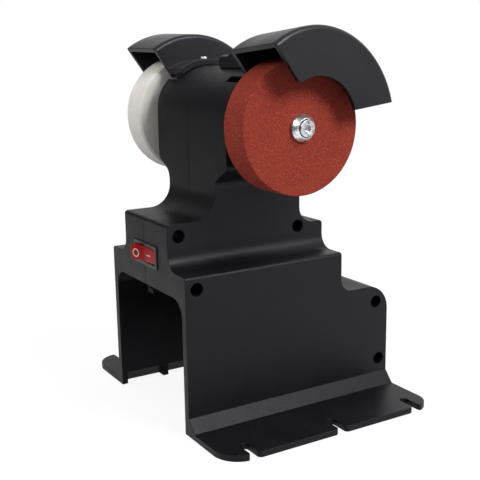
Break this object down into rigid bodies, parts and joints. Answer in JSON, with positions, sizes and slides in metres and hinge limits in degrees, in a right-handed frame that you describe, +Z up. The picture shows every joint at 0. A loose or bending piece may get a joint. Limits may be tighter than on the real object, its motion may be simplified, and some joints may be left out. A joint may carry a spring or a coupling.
{
  "type": "bench grinder",
  "caption": "Cordless mini bench grinder: two guarded wheels on one spindle over a housing that stands astride a slide-in battery, with a red rocker switch and slotted bench flanges.",
  "frame": {"origin": "bottom centre of the whole grinder: on the bench plane, under the middle of its width and of its depth with the switch rocker", "axes": "+X along the spindle towards the red grinding wheel, -Y the front with the switch and the mouth of the battery bay, +Z up"},
  "size_m": [0.188, 0.151, 0.2293],
  "materials": {
    "housing": "moulded",
    "guard": "moulded",
    "inner_moulding": "moulded",
    "switch_case": "moulded",
    "switch_red": "moulded",
    "red_abrasive": "bonded grit",
    "white_felt": "pressed felt",
    "zinc_steel": "zinc plated",
    "screws": "plated",
    "bright_steel": "ground",
    "core_steel": "laminated",
    "copper": "enamelled",
    "contacts": "stamped",
    "magnet": "sintered",
    "carbon": "pressed",
    "card": "laminate",
    "board": "laminate",
    "fan": "moulded",
    "lead_red": "insulated",
    "lead_black": "insulated"
  },
  "bodies": {
    "housing": {"housing_left": "housing", "housing_right": "housing", "housing_screws": "screws", "battery_rail_plate": "inner_moulding", "rail_plate_screws": "screws", "terminal_block": "inner_moulding", "terminal_blades": "contacts", "switch_body": "switch_case", "switch_terminals": "contacts", "control_board": "board", "board_parts": "inner_moulding", "battery_leads": "lead_red", "motor_leads": "lead_black", "motor_can": "zinc_steel", "motor_magnets": "magnet", "motor_bell_left": "zinc_steel", "motor_bell_right": "zinc_steel", "brush_card": "card", "brush_holders": "contacts", "brushes": "carbon", "brush_springs": "bright_steel", "bearing_outer_rings": "bright_steel", "guard_left": "guard", "guard_right": "guard", "guard_screws": "screws"},
    "rotor": {"spindle": "bright_steel", "bearing_inner_rings": "bright_steel", "armature_core": "core_steel", "armature_winding": "copper", "commutator": "copper", "cooling_fan": "fan", "wheel_hub_left": "zinc_steel", "wheel_hub_right": "zinc_steel", "grinding_wheel": "red_abrasive", "polishing_wheel": "white_felt", "wheel_washers": "zinc_steel", "wheel_screws": "screws"},
    "ball_sets": {"bearing_balls": "bright_steel"},
    "rocker": {"switch_rocker": "switch_red", "rocker_plunger": "bright_steel"}
  },
  "joints": [
    {"name": "spindle_spin", "type": "hinge", "parent": "housing", "child": "rotor", "pos_m": [0, -0.00851, 0.175], "axis": [1, 0, 0], "continuous": true},
    {"name": "ball_orbit", "type": "hinge", "parent": "housing", "child": "ball_sets", "pos_m": [0, -0.00851, 0.175], "axis": [1, 0, 0], "continuous": true},
    {"name": "rocker_tilt", "type": "hinge", "parent": "housing", "child": "rocker", "pos_m": [0, -0.06711, 0.0985], "axis": [0, 0, 1], "range_deg": [-24, 0]}
  ],
  "couplings": [
    {"joint": "ball_orbit", "follows": "spindle_spin", "ratio": 0.37}
  ]
}
